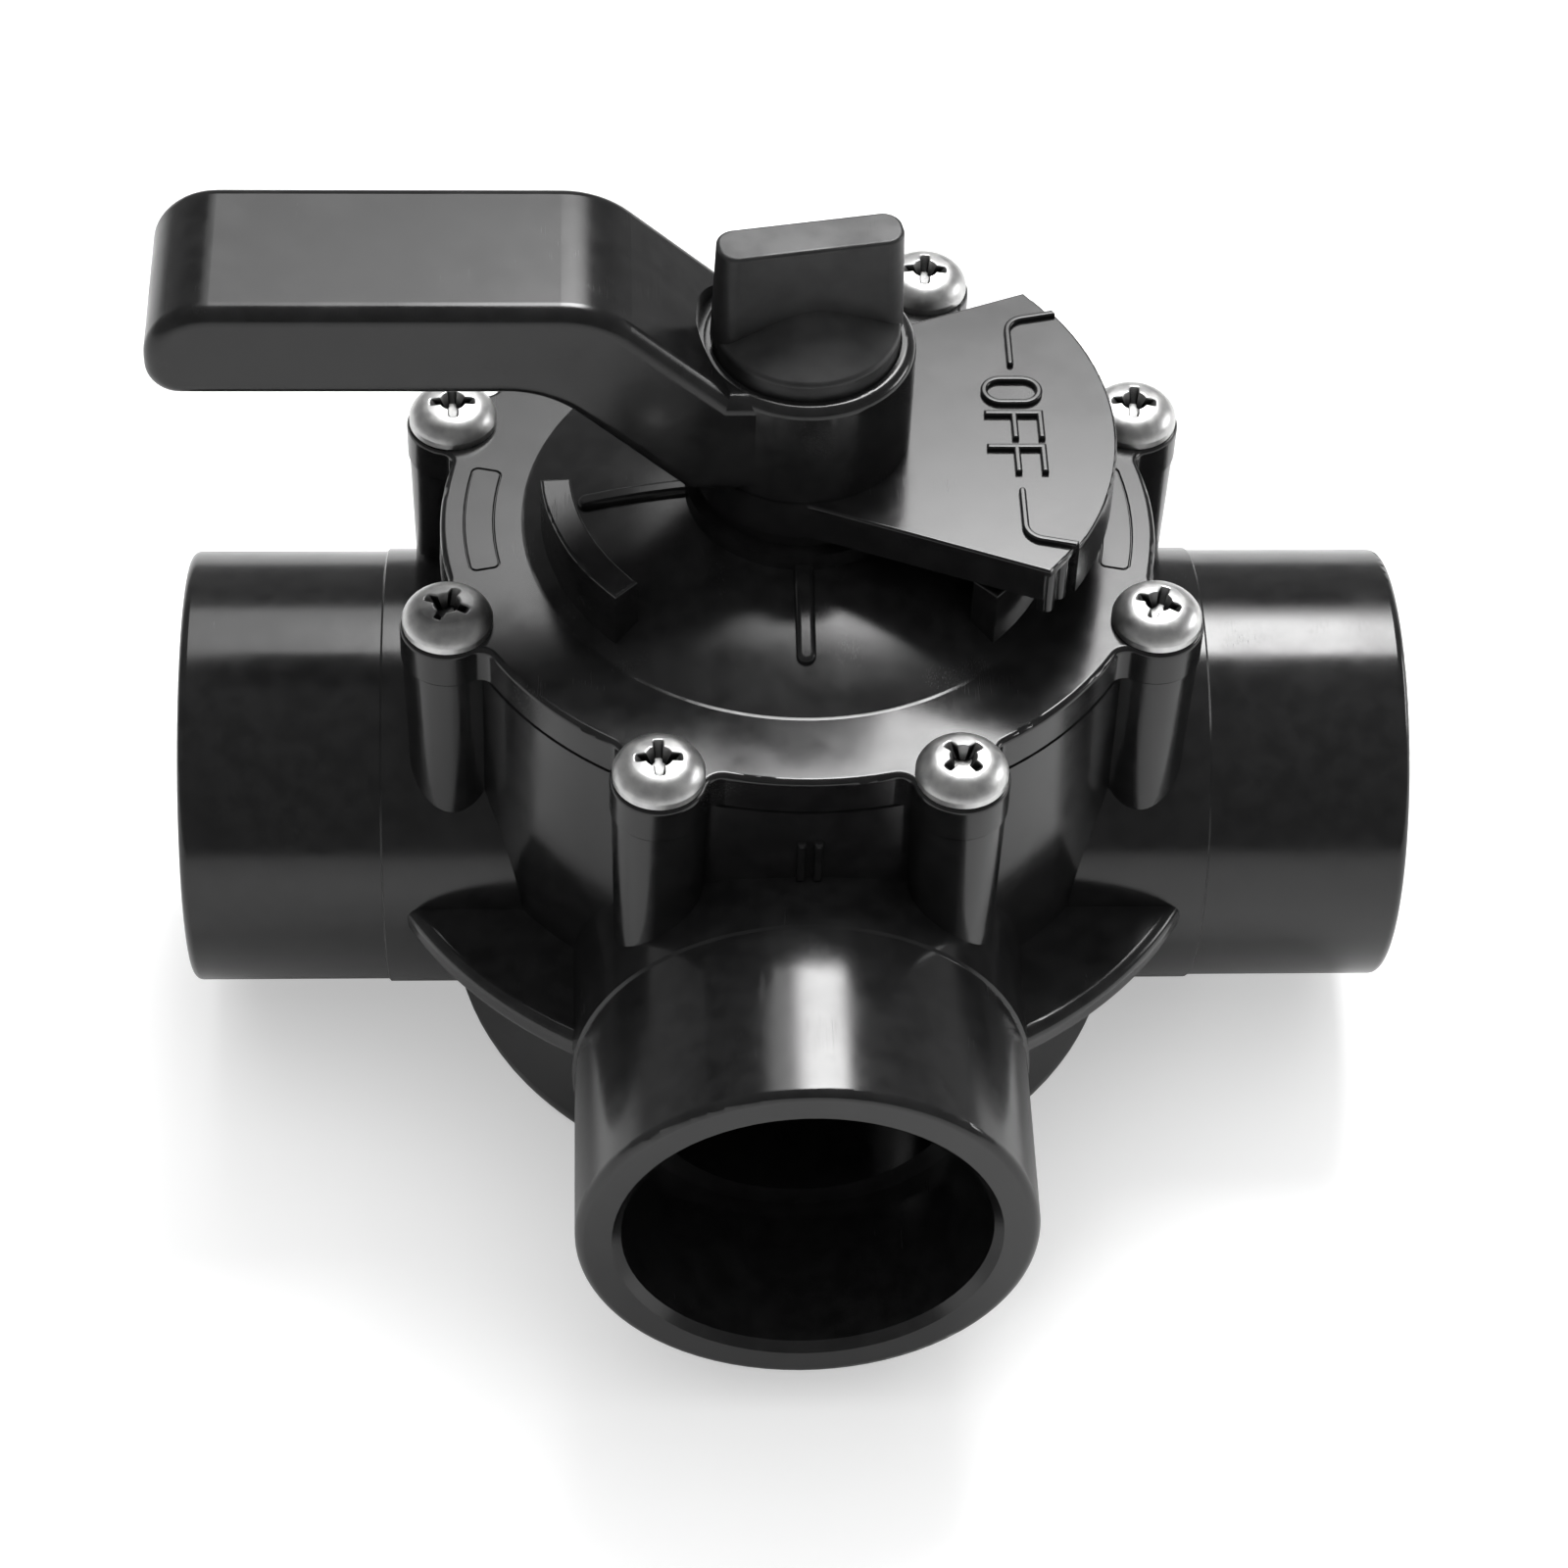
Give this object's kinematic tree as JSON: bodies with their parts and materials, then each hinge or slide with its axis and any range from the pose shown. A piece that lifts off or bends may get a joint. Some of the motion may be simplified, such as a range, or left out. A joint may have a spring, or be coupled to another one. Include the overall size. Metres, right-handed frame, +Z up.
{
  "type": "three way valve",
  "caption": "Diverter valve with side and front socket ports, a bolted cover, a cranked lever with an OFF wing and a locking knob.",
  "frame": {"origin": "centre of the bowl's flat base, on the stem's axis", "axes": "+Z up the stem, +X out of the port that is shut at rest, -Y out of the front port"},
  "size_m": [0.167, 0.1445, 0.137],
  "materials": {
    "body_plastic": "moulded gloss",
    "handle_plastic": "moulded semi gloss",
    "rotor_plastic": "moulded satin",
    "seal_rubber": "smooth elastomer",
    "washer_plastic": "satin",
    "insert_brass": "turned",
    "screw_steel": "bright stainless"
  },
  "bodies": {
    "valve_shell": {"valve_body": "body_plastic", "valve_cover": "body_plastic", "cover_o_ring": "seal_rubber", "lower_thrust_washer": "washer_plastic", "cover_screw_1": "screw_steel", "cover_screw_2": "screw_steel", "cover_screw_3": "screw_steel", "cover_screw_4": "screw_steel", "cover_screw_5": "screw_steel", "cover_screw_6": "screw_steel", "cover_screw_7": "screw_steel", "cover_screw_8": "screw_steel"},
    "turning_group": {"diverter_rotor": "rotor_plastic", "diverter_seal": "seal_rubber", "shaft_insert": "insert_brass", "handle": "handle_plastic", "shaft_o_ring_lower": "seal_rubber", "shaft_o_ring_upper": "seal_rubber", "upper_thrust_washer": "washer_plastic"},
    "knob_carrier": {"knob_washer": "screw_steel"},
    "knob": {"lock_knob": "handle_plastic", "knob_stud": "screw_steel"}
  },
  "joints": [
    {"name": "valve_turn", "type": "hinge", "parent": "valve_shell", "child": "turning_group", "pos_m": [0, 0, 0.039], "axis": [0, 0, 1], "range_deg": [0, 180]},
    {"name": "knob_lift", "type": "slide", "parent": "turning_group", "child": "knob_carrier", "axis": [0, 0, 1], "range_m": [0, 0.0009375]},
    {"name": "knob_turn", "type": "hinge", "parent": "knob_carrier", "child": "knob", "pos_m": [0, 0, 0.118], "axis": [0, 0, 1], "range_deg": [0, 270.5]}
  ],
  "couplings": [
    {"joint": "knob_turn", "follows": "knob_lift", "rad_per_m": 5026.5}
  ]
}
